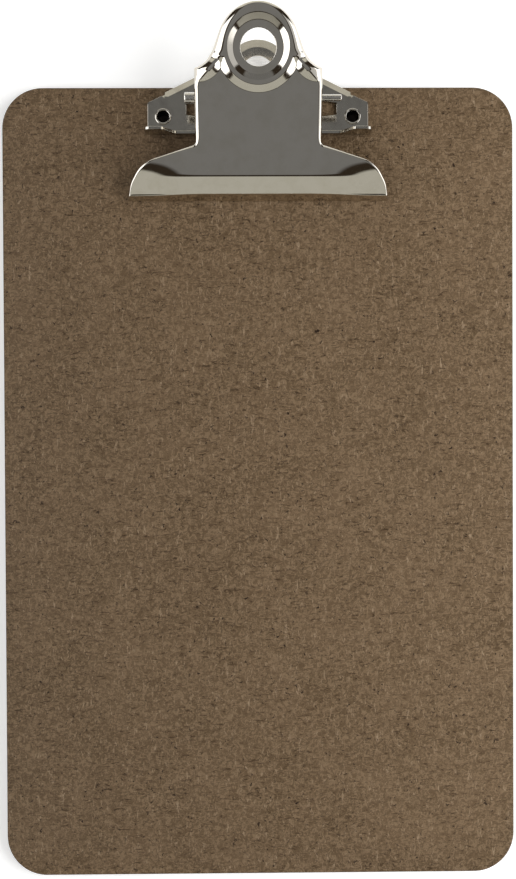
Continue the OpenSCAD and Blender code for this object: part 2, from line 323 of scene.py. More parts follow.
def make_object(name, solid, material, body):
    """A smooth-shaded mesh object that rides on a body. The solid's third part is either a
    normal for each point or the angle, in degrees, from which its edges are sharp."""
    points, faces, normals = solid
    mesh = bpy.data.meshes.new(name)
    mesh.from_pydata((points * MM).tolist(), [], faces.tolist())
    mesh.validate()
    mesh.update()
    mesh.shade_smooth()
    if np.isscalar(normals):
        mesh.set_sharp_from_angle(angle=math.radians(normals))
    else:
        mesh.normals_split_custom_set_from_vertices(normals.tolist())
    mesh.materials.append(material)
    piece = bpy.data.objects.new(name, mesh)
    bpy.context.scene.collection.objects.link(piece)
    if body:
        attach(piece, body)
    return piece


# ---- Materials ----

class Graph:
    """The nodes of a new material or world, with short calls for those used here."""

    def __init__(self, owner):
        owner.use_nodes = True
        self.nodes = owner.node_tree.nodes
        self.links = owner.node_tree.links

    def put(self, socket, value):
        """Links the socket to another one, or sets its value. A colour is given as a tuple."""
        if isinstance(value, bpy.types.NodeSocket):
            self.links.new(value, socket)
        elif isinstance(value, tuple):
            socket.default_value = (*value, 1)
        else:
            socket.default_value = value

    def fill_in(self, node, inputs):
        for key, value in inputs.items():
            self.put(node.inputs[key], value)

    def add(self, kind, inputs, output=0, **settings):
        """Adds a node of a kind, and gives one of its outputs."""
        node = self.nodes.new("ShaderNode" + kind)
        for name, value in settings.items():
            setattr(node, name, value)
        self.fill_in(node, inputs)
        return node.outputs[output]

    def place(self, scale=(1, 1, 1)):
        """The object's own coordinates in millimetres, stretched by the scale."""
        own = self.add("TexCoord", {}, "Object")
        return self.add("Mapping", {"Vector": own, "Scale": [s / MM for s in scale]})

    def noise(self, vector, scale, detail=3, roughness=0.5, distortion=0.0):
        return self.add("TexNoise", {"Vector": vector, "Scale": scale, "Detail": detail,
                                     "Roughness": roughness, "Distortion": distortion}, "Fac")

    def remap(self, value, source, target=(0, 1)):
        return self.add("MapRange", {"Value": value, "From Min": source[0], "From Max": source[1],
                                     "To Min": target[0], "To Max": target[1]}, "Result")

    def mix(self, factor, a, b):
        """A blend of two colours."""
        return self.add("Mix", {"Factor": factor, 6: a, 7: b}, 2, data_type="RGBA")

    def maths(self, operation, a, b=0.0):
        return self.add("Math", {0: a, 1: b}, operation=operation)

    def bump(self, height, distance, under=None):
        inputs = {"Height": height, "Distance": distance * MM}
        if under is not None:
            inputs["Normal"] = under
        return self.add("Bump", inputs, "Normal")


def new_material(name):
    """A new material, its graph and its shader."""
    material = bpy.data.materials.new(name)
    graph = Graph(material)
    return material, graph, graph.nodes["Principled BSDF"]


def bright_metal(name, colour, worn_colour, roughness, scratch_mm=0.0006, wave_mm=0.004):
    """Plated or drawn steel: soft stains, slow waves in the polish, and fine scratches."""
    material, g, shader = new_material(name)
    place = g.place()
    stain = g.remap(g.noise(place, 0.22, 4, 0.6), (0.45, 0.75))
    grain = g.noise(place, 1.6, 5, 0.65)
    wave = g.bump(g.noise(place, 0.35, 2), wave_mm)
    streaks = g.noise(g.place((0.35, 6, 6)), 1.1, 4, 0.7)
    g.fill_in(shader, {
        "Metallic": 1,
        "Base Color": g.mix(stain, colour, worn_colour),
        "Roughness": g.remap(grain, (0.3, 0.75), roughness),
        "Normal": g.bump(streaks, scratch_mm, wave)})
    return material


def hardboard(name):
    """Brown pressed wood fibre: matted chips and dark specks, darker rough cut edges."""
    material, g, shader = new_material(name)
    place = g.place()
    mottle = g.noise(place, 0.06, 3, 0.55)
    flakes = g.noise(place, 0.75, 6, 0.78, 1.2)
    fibres = g.noise(g.place((0.5, 1.7, 1.7)), 0.8, 4, 0.7, 1.0)
    shavings = g.noise(g.place((1.9, 0.5, 1.9)), 0.75, 4, 0.7, 1.0)
    lumps = g.noise(place, 0.9, 3, 0.6, 0.6)
    sparse = g.remap(g.noise(place, 0.16, 2), (0.40, 0.56), (0.25, 1))
    specks = g.maths("MULTIPLY", g.remap(lumps, (0.63, 0.675)), sparse)

    # A brown ground, lighter flakes and shavings on it, then dark fibres and specks.
    base = g.mix(g.remap(mottle, (0.35, 0.65)), (0.094, 0.060, 0.031), (0.124, 0.080, 0.044))
    base = g.mix(g.remap(flakes, (0.45, 0.56)), base, (0.192, 0.131, 0.077))
    base = g.mix(g.remap(shavings, (0.58, 0.69), (0, 0.65)), base, (0.360, 0.265, 0.175))
    base = g.mix(g.remap(fibres, (0.55, 0.66), (0, 0.9)), base, (0.044, 0.025, 0.011))
    base = g.mix(specks, base, (0.024, 0.013, 0.007))

    # The cut edges face sideways, which tells them from the two faces.
    normal = g.add("NewGeometry", {}, "Normal")
    facing = g.add("SeparateXYZ", {0: normal}, "Z")
    edge = g.remap(g.maths("ABSOLUTE", facing), (0.4, 0.97), (1, 0))
    base = g.mix(edge, base, (0.040, 0.024, 0.013))

    # The back carries the print of the mesh that the board was pressed on.
    bands = {"Vector": place, "Scale": 0.30, "Distortion": 1.2, "Detail": 2}
    weave, cross = (g.add("TexWave", bands, "Fac", wave_type="BANDS", bands_direction=direction)
                    for direction in "XY")
    mesh_print = g.maths("MULTIPLY", weave, cross)
    on_back = g.remap(facing, (-0.6, -0.95))
    mat = g.bump(fibres, 0.06, g.bump(flakes, 0.10))
    pits = g.bump(specks, -0.10, mat)
    g.fill_in(shader, {
        "Base Color": base,
        "Roughness": g.remap(flakes, (0.3, 0.7), (0.50, 0.72)),
        "Specular IOR Level": 0.18,
        "Normal": g.bump(g.maths("MULTIPLY", mesh_print, on_back), 0.28, pits)})
    return material


def white_floor(name):
    """Matt white that glows a little, so that the floor ends as white as its surroundings."""
    material, g, shader = new_material(name)
    g.fill_in(shader, {
        "Base Color": g.mix(g.noise(g.place(), 0.01, 2), (0.90, 0.90, 0.90), (0.92, 0.92, 0.92)),
        "Roughness": 0.9,
        "Specular IOR Level": 0.0,
        "Emission Color": (1, 1, 1),
        "Emission Strength": 0.34})
    return material


METALS = {
    "plated_sheet": ((0.71, 0.67, 0.60), (0.66, 0.62, 0.54), (0.045, 0.11)),
    "base_plate_nickel": ((0.55, 0.52, 0.46), (0.44, 0.41, 0.36), (0.10, 0.20)),
    "rivet_nickel": ((0.66, 0.63, 0.58), (0.52, 0.49, 0.44), (0.12, 0.24)),
    "pin_steel": ((0.70, 0.67, 0.62), (0.60, 0.57, 0.52), (0.22, 0.32)),
    # Near-black metal for the rivets' bores: painted shade for the dark inside the recess, not the
    # steel's own colour.
    "rivet_bore_steel": ((0.06, 0.05, 0.045), (0.03, 0.026, 0.022), (0.5, 0.7)),
    "spring_steel": ((0.50, 0.49, 0.47), (0.36, 0.34, 0.32), (0.20, 0.34), 0.003),
}
METAL = {name: bright_metal(name, *look) for name, look in METALS.items()}
HARDBOARD = hardboard("hardboard")


# ---- Board ----

def board_outline(inset):
    """The board's rounded rectangle, moved in from its edge."""
    corner_r = 12.0
    x, y = board_high[0] - corner_r, board_high[1] - corner_r
    corners = ((x, y, 0), (-x, y, 90), (-x, -y, 180), (x, -y, 270))
    return np.vstack([arc((cx, cy), corner_r - inset, start, start + 90, 24)
                      for cx, cy, start in corners])


def closed(ring, z):
    """A ring at a height, its first point repeated at its end."""
    return with_last(np.vstack([ring, ring[:1]]), z)


def make_board():
    """The board, with softened edges, through holes and the recesses behind them."""
    edge_r = 0.45
    patches = []
    for z, r, up in ((FRONT_Z, RIVET_HOLE_R, 1), (0, RECESS_R, -1)):
        holes = [circle(rivet[:2], r, 48) for rivet in RIVETS]
        flat, faces = fill(board_outline(edge_r), holes)
        normals = np.tile([0, 0, up], (len(flat), 1))
        patches.append((with_last(flat, z), faces[:, ::up], normals))
    rim = []
    for z_centre, angles in ((FRONT_Z - edge_r, (90, 60, 30, 0)), (edge_r, (0, -30, -60, -90))):
        for a in np.radians(angles):
            ring = board_outline(edge_r * (1 - math.cos(a)))
            rim.append(closed(ring, z_centre + edge_r * math.sin(a)))
    rim = np.array(rim)
    patches.append(grid_patch(rim, rim * [1, 1, 0]))
    profile = [(RIVET_HOLE_R, FRONT_Z), (RIVET_HOLE_R, RIVET_HEAD_T), (RECESS_R, RIVET_HEAD_T),
               (RECESS_R, 0)]
    for rivet in RIVETS:
        for (r0, z0), (r1, z1) in zip(profile, profile[1:]):
            rings = np.array([closed(circle(rivet[:2], r, 48), z) for r, z in ((r0, z0), (r1, z1))])
            inwards = (rings - rivet) * [-1, -1, 0]
            patches.append(grid_patch(rings, inwards if r0 == r1 else (0, 0, -1)))
    points, faces, _ = joined(patches)
    board = make_object("hardboard_sheet", (points, faces, 35), HARDBOARD, "base")
    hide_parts("board")


# ---- Lever ----

class FoldedPath:
    """A sheet's upper face seen from the side: (y, z) against the distance v from its start,
    which is negative on the way down. Above the start the first straight runs on."""

    STEP = 0.01

    def __init__(self, points, radii):
        points = [np.array(p, float) for p in points]
        ahead = 16.0
        way = unit(points[1] - points[0])
        angle = math.atan2(way[1], way[0])
        stations, headings = [-ahead], [angle]
        travelled = 0.0
        used = 0.0
        self.bends = []
        for a, b, c, r in zip(points, points[1:], points[2:], radii):
            after = unit(c - b)
            turn = math.atan2(after[1], after[0]) - math.atan2(*unit(b - a)[::-1])
            turn = (turn + math.pi) % (2 * math.pi) - math.pi
            reach = r * math.tan(abs(turn) / 2)
            travelled += np.linalg.norm(b - a) - used - reach
            stations += [travelled, travelled + r * abs(turn)]
            self.bends.append((-travelled, -travelled - r * abs(turn)))
            headings += [angle, angle + turn]
            angle += turn
            travelled += r * abs(turn)
            used = reach
        travelled += np.linalg.norm(points[-1] - points[-2]) - used
        stations.append(travelled)
        headings.append(angle)
        self.end = -travelled
        s = np.arange(-ahead, travelled + self.STEP, self.STEP)
        heading = np.interp(s, stations, headings)
        steps = np.column_stack([np.cos(heading), np.sin(heading)]) * self.STEP
        middle = (steps[1:] + steps[:-1]) / 2
        places = np.vstack([[0, 0], np.cumsum(middle, 0)])
        start = np.array([np.interp(0, s, places[:, k]) for k in range(2)])
        self.s = s
        self.places = places - start + points[0]
        self.heading = heading

    def at(self, v):
        """The (y, z) place and the heading, down the sheet, at v."""
        y, z = (np.interp(-v, self.s, self.places[:, k]) for k in range(2))
        return y, z, np.interp(-v, self.s, self.heading)

    def v_of(self, y):
        """The v of a point of the sheet that lies over y."""
        return -np.interp(-np.asarray(y, float), -self.places[:, 0], self.s)


# The jaw's fold lines as (y, z): the lip's edge, the crease above it and the bend to the plate.
LIP = np.array([lever_low[1], lever_low[2] + CUT_EDGE_R])
CREASE = LIP + [1.1, 4.4 - CUT_EDGE_R]
BEND_Y = LIP[0] + 5.5
BEND = np.array([BEND_Y, RING[2] - (RING[1] - BEND_Y) * math.tan(SLOPE)])
BEND_R = 2.4
CREASE_R = 1.2
lever_path = FoldedPath([RING[1:], BEND, CREASE, LIP], [BEND_R, CREASE_R])

# The ridge round the thumb hole, and the two leaves and the saddle that it runs into.
THUMB_FLAT_R = 6.85
RIDGE_IN_R = 8.85
RIDGE_IN_TOP_R = 9.3
RIDGE_OUT_R = 9.65
RIDGE_FOOT_R = 12.1
RIDGE_H = 1.4
LEAF_CENTRE = np.array([17.0, -1.6])
LEAF_HIGH_R = 5.5
LEAF_LOW_R = 7.7
SADDLE_LOW_V = -5.2
SADDLE_HIGH_V = -2.2

# How the jaw's ends sink: how far, over which way down the plate, and between which x.
DROOP = 2.0
DROOP_RUN = 5.0
DROOP_FROM_X = 14
DROOP_SPAN = 24
DROOP_SOFT = 0.45


def pressed_height(x, v):
    """How far the thumb tab's pressed shape stands above the lever's plain plate."""
    r = np.hypot(x, v)
    ring = ramp((RIDGE_FOOT_R - r) / (RIDGE_FOOT_R - RIDGE_OUT_R))
    d = np.hypot(np.abs(x) - LEAF_CENTRE[0], v - LEAF_CENTRE[1])
    leaf = ramp((LEAF_LOW_R - d) / (LEAF_LOW_R - LEAF_HIGH_R))
    saddle = ramp((v - SADDLE_LOW_V) / (SADDLE_HIGH_V - SADDLE_LOW_V))
    raised = RIDGE_H * np.maximum(np.maximum(ring, leaf), saddle)
    upward = np.clip(v / np.maximum(r, 1e-6), 0, 1)
    lip_r = RIDGE_IN_R + (RIDGE_IN_TOP_R - RIDGE_IN_R) * upward ** 2
    dish = ANNULUS_H + (RIDGE_H - ANNULUS_H) * ramp((r - THUMB_FLAT_R) / (lip_r - THUMB_FLAT_R))
    return np.where(r < lip_r, np.minimum(dish, raised), raised)


def droop(x, v):
    """How far the jaw's two ends sink as they near the bend; it fades again over the lip."""
    depth = DROOP * ramp((np.abs(x) - DROOP_FROM_X) / DROOP_SPAN, DROOP_SOFT)
    bend_start, bend_end = lever_path.bends[0]
    crease_start = lever_path.bends[1][0]
    run = bend_start + DROOP_RUN - v
    turn = bend_start - bend_end
    peak = 2 / (DROOP_RUN + turn)
    falling = np.clip(run, 0, DROOP_RUN)
    settling = np.clip(run - DROOP_RUN, 0, turn)
    share = peak * (falling ** 2 / (2 * DROOP_RUN) + settling - settling ** 2 / (2 * turn))
    fade = np.clip((v - lever_path.end) / (crease_start - lever_path.end), 0, 1)
    return depth * share * fade


def lever_at(x, v, height):
    """A point near the lever's upper face, the height above it."""
    x, v, height = np.broadcast_arrays(x, v, height)
    y, z, heading = lever_path.at(v)
    up = np.column_stack([np.zeros(len(v)), np.sin(heading), -np.cos(heading)])
    face = np.column_stack([x, y, z - droop(x, v)])
    return face + height[:, None] * up


def lever_face(x, v):
    return lever_at(x, v, pressed_height(x, v))


def lever_normals(x, v):
    d = 0.02
    across = lever_face(x + d, v) - lever_face(x - d, v)
    along = lever_face(x, v + d) - lever_face(x, v - d)
    return unit(np.cross(across, along))


def polar(r, degrees):
    a = math.radians(degrees)
    return (r * math.cos(a), r * math.sin(a))


# The rim's plan and how far it rolls in and hangs down. The jaw's places are given from the
# lip's end and from the board's top edge.
NECK_X = 18.1
NECK_BEND = 1.35
NECK_ROOT_DROP = 20.2
NECK_ROOT_R = 1.2
JAW_WIDER = 0.4
JAW_ROLL = 0.65
JAW_ROLL_START = 0.05
JAW_ROLL_GROWTH = 0.42
JAW_SHOULDER_IN = 2.6
JAW_SHOULDER_DROP = 25.7
JAW_SHOULDER_R = 11.5
LIP_CORNER_R = 1.5
SKIRT_DEPTH = 2.0
JAW_RIM_DEPTH = 2.4
JAW_RIM_V = -20
JAW_RIM_RUN = 6
ROLL_STEPS = 10
FLANGE_LOBE_R = 5

# The rim round the thumb tab as pairs of (x, v) points, from the neck to the top: where the
# sheet starts to roll down, and where the roll is steepest.
TAB_RAILS = [
    ((NECK_X - NECK_BEND, -10.4), (NECK_X, -10.4)),
    ((16.35, -9.1), (NECK_X, -8.6)),
    ((15.4, -8.1), (NECK_X, -7.0)),
    ((14.6, -7.3), (NECK_X, -5.4)),
    ((14.0, -6.6), (17.3, -5.05)),
    ((13.3, -5.7), (16.0, -4.4)),
    ((12.0, -4.45), (14.7, -3.4)),
    ((10.5, -2.9), (13.6, -1.8)),
    ((9.5, -1.5), (12.8, -0.4)),
    ((9.05, 0.6), (12.1, 1.3)),
    (polar(9.0, 16), polar(11.8, 16)),
    (polar(9.1, 30), polar(11.8, 30)),
    (polar(9.5, 45), polar(11.85, 45)),
    (polar(10.1, 60), polar(11.85, 60)),
    (polar(10.6, 75), polar(11.85, 75)),
    (polar(10.75, 90), polar(11.85, 90)),
]


def smooth_curve(points, steps):
    """A Catmull-Rom curve through the pairs of (x, v) points, level where it ends at x = 0."""
    points = np.array(points, float)
    padded = np.vstack([2 * points[0] - points[1], points, points[-2] * [-1, 1, -1, 1]])
    t = np.linspace(0, 1, steps, endpoint=False)[:, None]
    out = []
    for p0, p1, p2, p3 in zip(padded, padded[1:], padded[2:], padded[3:]):
        out.append(0.5 * (2 * p1 + (p2 - p0) * t + (2 * p0 - 5 * p1 + 4 * p2 - p3) * t ** 2
                          + (3 * p1 - p0 - 3 * p2 + p3) * t ** 3))
    return np.vstack([*out, points[-1:]])


def plan_offset(path, distance):
    """The path moved to its left by a distance for each point."""
    tangent = unit(np.gradient(path, axis=0))
    return path + distance[:, None] * np.column_stack([-tangent[:, 1], tangent[:, 0]])


def rim_rails():
    """The roll's start and its steepest line along the whole right half of the lever."""
    jaw_half_w = lever_high[0] + JAW_WIDER
    lip_v = lever_path.end
    shoulder = [jaw_half_w - JAW_SHOULDER_IN, lever_path.v_of(TOP_Y - JAW_SHOULDER_DROP)]
    root = [NECK_X, lever_path.v_of(TOP_Y - NECK_ROOT_DROP)]
    corners = [[jaw_half_w - 1.4 * LIP_CORNER_R, lip_v], [jaw_half_w, lip_v], shoulder, root,
               TAB_RAILS[0][1]]
    steep = spaced(rounded(corners, [LIP_CORNER_R, JAW_SHOULDER_R, NECK_ROOT_R], 14), 0.5)
    travelled = np.concatenate([[0], np.cumsum(np.linalg.norm(np.diff(steep, axis=0), axis=1))])
    roll = np.clip(JAW_ROLL_START + JAW_ROLL_GROWTH * travelled, 0, JAW_ROLL)
    near_neck = ramp((steep[:, 1] - root[1] + 2) / 4)
    roll = roll + (NECK_BEND - JAW_ROLL) * near_neck
    start = plan_offset(steep, roll)
    pairs = smooth_curve([(*a, *b) for a, b in TAB_RAILS], 8)
    start = np.vstack([start[:-1], pairs[:, :2]])
    steep = np.vstack([steep[:-1], pairs[:, 2:]])
    start[-1, 0] = 0
    steep[-1, 0] = 0
    return start, steep


def rim_rings(start, steep):
    """Lines along the lever's right half, from the roll's start down to the skirt's edge, and
    which way the roll swings out."""
    start_h = pressed_height(*start.T)
    roll = np.linalg.norm(steep - start, axis=1)
    down = -PLATE_UP
    inner = lever_at(*start.T, start_h)
    outer = lever_at(*steep.T, start_h)
    on_jaw = ramp((JAW_RIM_V - steep[:, 1]) / JAW_RIM_RUN)
    depth = SKIRT_DEPTH + (JAW_RIM_DEPTH - SKIRT_DEPTH) * on_jaw
    room = (inner[:, 2] - lever_low[2] - 2 * CUT_EDGE_R) / -down[2]
    roll_depth = np.minimum(roll, np.maximum(room * 0.6, 0.02))
    straight = np.clip(depth + start_h - roll_depth, 0.1, np.maximum(room - roll_depth, 0.05))

    rings = []
    for angle in np.radians(np.linspace(0, 90, ROLL_STEPS + 1)):
        swing = (outer - inner) * math.sin(angle)
        rings.append(inner + swing + (1 - math.cos(angle)) * roll_depth[:, None] * down)
    for share in np.linspace(0, 1, 4)[1:]:
        rings.append(rings[ROLL_STEPS] + share * straight[:, None] * down)
    return np.array(rings), outer - inner


def rim_patches(start, rings, outwards, first, last):
    """The roll along the whole rim, and the skirt, which leaves out the neck's straight side."""
    facing = PLATE_UP * 0.3 + outwards
    roll = grid_patch(rings[:ROLL_STEPS + 1], facing)
    roll[2][:len(start)] = lever_normals(*start.T)
    skirts = [grid_patch(rings[ROLL_STEPS:, part], facing[part])
              for part in (slice(0, first + 1), slice(last, None))]
    return [roll, *skirts]


def flange_patch(rings, first, last):
    """The flange that hangs from the neck's straight side, drawn in (v, depth), with its hole."""
    def on_side(points):
        return np.column_stack([(points - RING) @ PLATE_ALONG, -(points - RING) @ PLATE_UP])

    pivot = on_side(PIVOT[None])[0]
    top_edge = on_side(rings[ROLL_STEPS, first:last + 1])
    rear_edge = on_side(rings[ROLL_STEPS + 1:, last])
    front_edge = on_side(rings[ROLL_STEPS + 1:, first])
    lobe = arc(pivot, FLANGE_LOBE_R - CUT_EDGE_R, -5, 150, 30)
    under = spaced(np.vstack([rear_edge[-1:], lobe, front_edge[-1:]]), 0.6)
    loop = np.vstack([top_edge, rear_edge, under[1:-1], front_edge[::-1]])
    pin_hole = circle(pivot, PIN_HOLE_R + CUT_EDGE_R, 32)

    def in_space(flat):
        return RING + flat[:, :1] * PLATE_ALONG - flat[:, 1:] * PLATE_UP + [NECK_X, 0, 0]

    return wall(loop, [pin_hole], in_space, (1.0, 0, 0))


def plate_patch(start):
    """The plate inside the rim, from the lip to the top of the thumb tab, drawn in (x, v)."""
    lip_v = lever_path.end
    hole = arc((0, 0), THUMB_HOLE_R + CUT_EDGE_R, 90, -90, 36)
    lip_line = spaced(np.array([[0, lip_v], start[0]]), 0.7)
    above_hole = spaced(np.array([start[-1], hole[0]]), 0.15)
    below_hole = spaced(np.array([hole[-1], [0, lip_v]]), 0.2)
    outline = np.vstack([lip_line[:-1], start[:-1], above_hole[:-1], hole[:-1], below_hole[:-1]])
    scatter = []
    for r in np.arange(THUMB_HOLE_R + 0.6, RIDGE_FOOT_R + 0.6, 0.27):
        ring = arc((0, 0), r, -90, 90, int(r * 7))
        scatter.append(ring[ring[:, 0] > 0.3])
    for r in np.arange(LEAF_HIGH_R - 0.5, LEAF_LOW_R + 0.6, 0.27):
        leaf = arc(LEAF_CENTRE, r, 180, 290, int(r * 5))
        scatter.append(leaf[np.hypot(*leaf.T) > RIDGE_FOOT_R + 0.5])
    bend, crease = lever_path.bends
    rows = np.concatenate([
        np.arange(-4, bend[0] + DROOP_RUN, -0.9),
        np.arange(bend[0] + DROOP_RUN, bend[0] + 0.1, -0.4),
        np.linspace(*bend, 9),
        np.linspace(bend[1] - 0.5, crease[0] + 0.4, 8),
        np.linspace(*crease, 7),
        np.linspace(crease[1] - 0.5, lip_v + 0.4, 6)])
    columns = np.arange(0.8, lever_high[0], 0.8)
    field = np.array([(x, v) for v in rows for x in columns])
    clear = np.hypot(*field.T) > RIDGE_FOOT_R + 0.6
    clear &= np.hypot(*(field - LEAF_CENTRE).T) > LEAF_LOW_R + 0.6
    scatter.append(field[clear])
    flat, faces = fill(outline, scatter=scatter)
    return lever_face(*flat.T), faces, lever_normals(*flat.T)


def make_lever():
    """The lever: its right half, made of patches, and the mirror image of that."""
    start, steep = rim_rails()
    rings, outwards = rim_rings(start, steep)
    neck_side = np.where((np.abs(steep[:, 0] - NECK_X) < 1e-6) & (steep[:, 1] < -5))[0]
    first, last = neck_side[0], neck_side[-1]
    half = joined([*rim_patches(start, rings, outwards, first, last),
                   flange_patch(rings, first, last), plate_patch(start)])
    whole = joined([half, mirrored(half)])
    lever = make_object("lever_sheet", thickened(whole, SHEET_T), METAL["plated_sheet"], "lever")
    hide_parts("lever")


# ---- Base plate ----

FOLD_R = 0.5
STOP_Y = base_low[1] + SHEET_T
STOP_H = 2.5
HORN_H = 7.0
HORN_W = 5.3
HORN_RUN = 3.5
HORN_RADII = (1.8, 1.6, 2.4)
WING_HALF_W = base_high[0] - 0.6
WING_TOP_Y = TOP_Y - 2.3
WING_CORNER_W = 5.2
WING_CORNER_H = 2.5
FLANK_START = np.array([WING_HALF_W - 5.1, TOP_Y - 1.4])
FLANK_END = np.array([9.0, TOP_Y + 7.8])
FLANK_SPAN = FLANK_END - FLANK_START
FLANK_IN = unit(np.array([-FLANK_SPAN[1], FLANK_SPAN[0]]))
FLANK_W = 2.1
TAB_FLAT_R = REAR_HOLE_R + 2.1
REAR_TAB_R = base_high[1] - REAR_HOLE[1]
EDGE_FALL = 0.8
EAR_X = 8.0
EAR_HALF_W = 3.6
EAR_HEAD_R = 2.5
WINDOW_TIP_HALF_W = 1.7
WINDOW_ENDS = {-1: 21.4, 1: 23.5}


def edge_slope(depth, width):
    """How far the turned-down edge has fallen, from 0 to 1, at a depth in from its outline."""
    reach = 0.8
    return ramp(reach * (1 - depth / width), 0.1) / ramp(reach, 0.1)


def base_height(x, y):
    """The base plate's upper face: flat, with an edge that turns down round the rear tab."""
    place = np.stack([np.abs(x), y], -1)
    from_start = place - FLANK_START
    along = (from_start @ FLANK_SPAN) / (FLANK_SPAN @ FLANK_SPAN)
    aside = np.linalg.norm(from_start - np.clip(along, 0, 1)[..., None] * FLANK_SPAN, axis=-1)
    to_flank = np.where((along > 0) & (along < 1), from_start @ FLANK_IN, aside)
    from_hole = place - REAR_HOLE[:2]
    to_end = FLANK_END - REAR_HOLE[:2]
    on_arc = from_hole[..., 1] * to_end[0] > from_hole[..., 0] * to_end[1]
    to_arc = np.where(on_arc, REAR_TAB_R - np.linalg.norm(from_hole, axis=-1),
                      np.linalg.norm(place - FLANK_END, axis=-1))
    fall = np.maximum(edge_slope(to_flank, FLANK_W), edge_slope(to_arc, REAR_TAB_R - TAB_FLAT_R))
    return PLATE_Z - EDGE_FALL * fall


def base_normals(x, y):
    d = 0.02
    slope_x = (base_height(x + d, y) - base_height(x - d, y)) / (2 * d)
    slope_y = (base_height(x, y + d) - base_height(x, y - d)) / (2 * d)
    return unit(np.column_stack([-slope_x, -slope_y, np.ones(len(x))]))


def fold_up(line, out):
    """The quarter-round fold from a border line of the plate up to a wall; out is the way to it."""
    rings = []
    for angle in np.radians(np.linspace(0, 90, 7)):
        shift = FOLD_R * math.sin(angle) * np.array([*out, 0])
        rise = FOLD_R * (1 - math.cos(angle))
        rings.append(with_last(line, PLATE_Z + rise) + shift)
    return grid_patch(np.array(rings), (-out[0], -out[1], 1))


def ear_patches(side, line_y):
    """One ear: folded up at its window's inner end, round at the top, with the pin's hole."""
    line = np.column_stack([np.full(len(line_y), side * (EAR_X - FOLD_R)), line_y])
    foot_z = PLATE_Z + FOLD_R
    half = EAR_HALF_W - CUT_EDGE_R
    head_r = EAR_HEAD_R - CUT_EDGE_R
    foot = with_last(line_y, foot_z)
    lean = math.degrees(math.atan2(half - head_r, PIVOT[2] - foot_z))
    head = arc(PIVOT[1:], head_r, lean, 180 - lean, 24)
    loop = spaced(np.vstack([foot[-1:], head, foot[:1]]), 1.0)
    loop = np.vstack([foot, loop[1:-1]])
    pin_hole = circle(PIVOT[1:], PIN_HOLE_R + CUT_EDGE_R, 32)
    upright = wall(loop, [pin_hole],
                   lambda p: np.column_stack([np.full(len(p), side * EAR_X), p]), (-side, 0, 0))
    return [fold_up(line, (side, 0)), upright]


def stop_patches(line_x):
    """The paper stop: a low wall across the front of the plate with a horn at each end."""
    line = with_last(line_x, STOP_Y + FOLD_R)
    foot_z = PLATE_Z + FOLD_R
    e = CUT_EDGE_R
    w = base_high[0] - e
    low, high = FRONT_Z + STOP_H - e, FRONT_Z + HORN_H - e
    horn_w = HORN_W - 2 * e
    half = [[w, foot_z], [w, high], [w - horn_w, high], [w - horn_w - HORN_RUN, low], [0, low]]
    half = rounded(half, HORN_RADII)
    top = np.vstack([half, (half * [-1, 1])[-2::-1]])
    foot = with_last(line_x, foot_z)
    loop = np.vstack([foot, spaced(top, 1.2)])
    upright = wall(loop, [],
                   lambda p: np.column_stack([p[:, 0], np.full(len(p), STOP_Y), p[:, 1]]), (0, 1, 0))
    return [fold_up(line, (0, -1)), upright]


def base_outline(stop_x):
    """The plate's outline: up its right side, round the rear tab, down its left, along the stop."""
    e = CUT_EDGE_R
    line_y = STOP_Y + FOLD_R
    to_tab_end = FLANK_END - REAR_HOLE[:2]
    tab_from = math.degrees(math.atan2(to_tab_end[1], to_tab_end[0]))
    half = spaced(np.vstack([
        [[WING_HALF_W - e, line_y]],
        [[WING_HALF_W - e, WING_TOP_Y - WING_CORNER_H]],
        [[WING_HALF_W - WING_CORNER_W, WING_TOP_Y - e]],
        [FLANK_START + FLANK_IN * e],
        arc(REAR_HOLE[:2], REAR_TAB_R - e, tab_from, 90, 24)]), 0.7)
    return np.vstack([half, (half * [-1, 1])[-2::-1], with_last(stop_x[1:-1], line_y)])


def base_holes(ear_y):
    """The windows that the ears leave, the rivets' holes and the rear tab's hole."""
    e = CUT_EDGE_R
    holes = []
    for side, end_x in WINDOW_ENDS.items():
        mouth = np.column_stack([np.full(len(ear_y), EAR_X - FOLD_R), ear_y])
        wide = EAR_HALF_W + e
        upper = np.array([[EAR_X + 0.2, wide], [EAR_X + SHEET_T, wide],
                          [end_x, WINDOW_TIP_HALF_W + e]])
        rest = np.vstack([upper, upper[::-1] * [1, -1]]) + [0, PIVOT[1]]
        window = np.vstack([mouth, spaced(np.vstack([mouth[-1:], rest, mouth[:1]]), 0.9)[1:-1]])
        holes.append(window * [side, 1])
    holes += [circle(rivet[:2], RIVET_HOLE_R + e, 40) for rivet in RIVETS]
    holes.append(circle(REAR_HOLE[:2], REAR_HOLE_R + e, 64))
    return holes


def base_scatter():
    """Points for the plate's inside: close together where its edge turns down, wide elsewhere."""
    scatter = []
    for r in np.arange(REAR_HOLE_R + 0.6, REAR_TAB_R, 0.3):
        scatter.append(arc(REAR_HOLE[:2], r, -60, 240, int(r * 8)))
    for depth in np.arange(0.3, FLANK_W + 0.4, 0.25):
        for t in np.linspace(0.01, 1.0, 30):
            p = FLANK_START + t * FLANK_SPAN + FLANK_IN * depth
            if np.hypot(*(p - REAR_HOLE[:2])) > REAR_TAB_R + 0.2:
                scatter.append(np.array([p, p * [-1, 1]]))
    field = np.array([(x, y) for x in np.arange(-31.5, 32, 1.5)
                      for y in np.arange(STOP_Y + FOLD_R + 1, TOP_Y + 8, 1.2)])
    depth = (np.column_stack([np.abs(field[:, 0]), field[:, 1]]) - FLANK_START) @ FLANK_IN
    clear = (np.hypot(*(field - REAR_HOLE[:2]).T) > REAR_TAB_R + 0.4) & (depth > FLANK_W + 0.6)
    return [*scatter, field[clear]]


